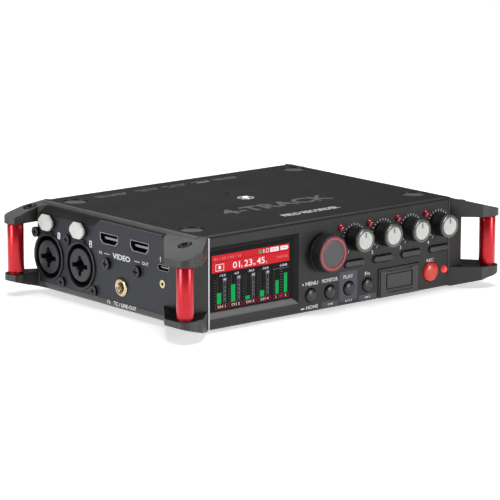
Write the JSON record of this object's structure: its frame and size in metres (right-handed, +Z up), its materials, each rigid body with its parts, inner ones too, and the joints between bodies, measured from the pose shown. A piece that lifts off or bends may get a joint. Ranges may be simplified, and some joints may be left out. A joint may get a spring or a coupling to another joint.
{
  "type": "portable field recorder",
  "caption": "Flat metal audio recorder with a colour screen, push dial, gain knobs, keys, combo input jacks, corner ears with red posts and a rear battery door.",
  "frame": {"origin": "middle of the footprint, on the surface that the feet stand on", "axes": "+X to the right seen from the front, the front with its screen and knobs faces -Y, +Z up"},
  "size_m": [0.2056, 0.145, 0.0462],
  "materials": {
    "cover_black": "fine textured powder coat",
    "bezel_grey": "satin",
    "side_grey": "fine satin paint",
    "bright_edge": "cut and polished",
    "red_anodised": "bright anodised",
    "black_screw": "blackened",
    "screen_glass": "gloss",
    "display_board": "matt",
    "knob_rubber": "knurled",
    "red_ring": "gloss",
    "steel": "turned",
    "dark_plastic": "moulded",
    "white_cap": "matt",
    "key_rubber": "matt",
    "red_button": "satin",
    "red_lamp": "clear moulded",
    "bay_plastic": "fine grain",
    "board_green": "solder mask",
    "jack_black": "moulded",
    "jack_grey": "moulded",
    "gold": "plated",
    "tab_white": "satin",
    "socket_steel": "plated",
    "insert_steel": "turned",
    "foot_rubber": "matt",
    "cell_sleeve": "printed sleeve"
  },
  "bodies": {
    "case": {"top_cover": "cover_black", "bottom_cover": "cover_black", "front_bezel": "bezel_grey", "left_panel": "side_grey", "right_panel": "side_grey", "rear_panel": "side_grey", "edge_trims": "bright_edge", "corner_posts": "red_anodised", "cover_screws": "black_screw", "lcd_window": "screen_glass", "lcd_module": "display_board", "dial_encoder": "dark_plastic", "gain_pots": "dark_plastic", "signal_lamps": "red_lamp", "adapter_socket": "dark_plastic", "front_board": "board_green", "main_board": "board_green", "combo_housings": "jack_black", "combo_inserts": "jack_grey", "combo_contacts": "gold", "jack_screws": "black_screw", "digital_sockets": "socket_steel", "clamp_screws": "black_screw", "mini_jacks": "gold", "lock_insert": "gold", "card_socket": "socket_steel", "tripod_inserts": "insert_steel", "rubber_feet": "foot_rubber", "door_pin": "steel", "battery_tray": "dark_plastic", "battery_cells": "cell_sleeve", "cell_contacts": "steel"},
    "dial_stem": {"dial_shaft": "steel"},
    "dial": {"dial_knob": "knob_rubber", "dial_ring": "red_ring"},
    "gain_1": {"gain_knob_1": "knob_rubber", "gain_cap_1": "white_cap"},
    "gain_2": {"gain_knob_2": "knob_rubber", "gain_cap_2": "white_cap"},
    "gain_3": {"gain_knob_3": "knob_rubber", "gain_cap_3": "white_cap"},
    "gain_4": {"gain_knob_4": "knob_rubber", "gain_cap_4": "white_cap"},
    "channel_1": {"channel_key_1": "key_rubber"},
    "channel_2": {"channel_key_2": "key_rubber"},
    "channel_3": {"channel_key_3": "key_rubber"},
    "channel_4": {"channel_key_4": "key_rubber"},
    "menu": {"menu_key": "key_rubber"},
    "monitor": {"monitor_key": "key_rubber"},
    "play": {"play_key": "key_rubber"},
    "function": {"function_key": "key_rubber"},
    "rec": {"rec_button": "red_button"},
    "tab_1": {"latch_tab_1": "tab_white"},
    "tab_2": {"latch_tab_2": "tab_white"},
    "tab_3": {"latch_tab_3": "tab_white"},
    "tab_4": {"latch_tab_4": "tab_white"},
    "bay_cover": {"adapter_cover": "bay_plastic"},
    "power": {"power_slider": "dark_plastic"},
    "door": {"battery_door": "side_grey"},
    "latch": {"door_latch": "dark_plastic"}
  },
  "joints": [
    {"name": "dial_press", "type": "slide", "parent": "case", "child": "dial_stem", "axis": [0, 1, 0], "range_m": [0, 0.0006], "stiffness_N_per_m": 400},
    {"name": "dial_turn", "type": "hinge", "parent": "dial_stem", "child": "dial", "pos_m": [-0.0061, -0.0597, 0.0299], "axis": [0, -1, 0], "continuous": true},
    {"name": "gain_turn_1", "type": "hinge", "parent": "case", "child": "gain_1", "pos_m": [0.0138, -0.0597, 0.034], "axis": [0, -1, 0], "range_deg": [-150, 150]},
    {"name": "gain_turn_2", "type": "hinge", "parent": "case", "child": "gain_2", "pos_m": [0.0326, -0.0597, 0.034], "axis": [0, -1, 0], "range_deg": [-150, 150]},
    {"name": "gain_turn_3", "type": "hinge", "parent": "case", "child": "gain_3", "pos_m": [0.0514, -0.0597, 0.034], "axis": [0, -1, 0], "range_deg": [-150, 150]},
    {"name": "gain_turn_4", "type": "hinge", "parent": "case", "child": "gain_4", "pos_m": [0.0702, -0.0597, 0.034], "axis": [0, -1, 0], "range_deg": [-150, 150]},
    {"name": "channel_1_press", "type": "slide", "parent": "case", "child": "channel_1", "axis": [0, 1, 0], "range_m": [0, 0.0008], "stiffness_N_per_m": 300},
    {"name": "channel_2_press", "type": "slide", "parent": "case", "child": "channel_2", "axis": [0, 1, 0], "range_m": [0, 0.0008], "stiffness_N_per_m": 300},
    {"name": "channel_3_press", "type": "slide", "parent": "case", "child": "channel_3", "axis": [0, 1, 0], "range_m": [0, 0.0008], "stiffness_N_per_m": 300},
    {"name": "channel_4_press", "type": "slide", "parent": "case", "child": "channel_4", "axis": [0, 1, 0], "range_m": [0, 0.0008], "stiffness_N_per_m": 300},
    {"name": "menu_press", "type": "slide", "parent": "case", "child": "menu", "axis": [0, 1, 0], "range_m": [0, 0.0008], "stiffness_N_per_m": 300},
    {"name": "monitor_press", "type": "slide", "parent": "case", "child": "monitor", "axis": [0, 1, 0], "range_m": [0, 0.0008], "stiffness_N_per_m": 300},
    {"name": "play_press", "type": "slide", "parent": "case", "child": "play", "axis": [0, 1, 0], "range_m": [0, 0.0008], "stiffness_N_per_m": 300},
    {"name": "function_press", "type": "slide", "parent": "case", "child": "function", "axis": [0, 1, 0], "range_m": [0, 0.0008], "stiffness_N_per_m": 300},
    {"name": "rec_press", "type": "slide", "parent": "case", "child": "rec", "axis": [0, 1, 0], "range_m": [0, 0.0008], "stiffness_N_per_m": 300},
    {"name": "tab_press_1", "type": "slide", "parent": "case", "child": "tab_1", "axis": [1, 0, 0], "range_m": [0, 0.0011], "stiffness_N_per_m": 400},
    {"name": "tab_press_2", "type": "slide", "parent": "case", "child": "tab_2", "axis": [1, 0, 0], "range_m": [0, 0.0011], "stiffness_N_per_m": 400},
    {"name": "tab_press_3", "type": "slide", "parent": "case", "child": "tab_3", "axis": [-1, 0, 0], "range_m": [0, 0.0011], "stiffness_N_per_m": 400},
    {"name": "tab_press_4", "type": "slide", "parent": "case", "child": "tab_4", "axis": [-1, 0, 0], "range_m": [0, 0.0011], "stiffness_N_per_m": 400},
    {"name": "bay_cover_pull", "type": "slide", "parent": "case", "child": "bay_cover", "axis": [0, -1, 0], "range_m": [0, 0.008]},
    {"name": "power_slide", "type": "slide", "parent": "case", "child": "power", "axis": [0, 1, 0], "range_m": [-0.0026, 0.0026]},
    {"name": "door_swing", "type": "hinge", "parent": "case", "child": "door", "pos_m": [0, 0.06525, 0.00945], "axis": [-1, 0, 0], "range_deg": [0, 95]},
    {"name": "latch_slide", "type": "slide", "parent": "door", "child": "latch", "axis": [0, 0, -1], "range_m": [0, 0.002], "stiffness_N_per_m": 200}
  ]
}
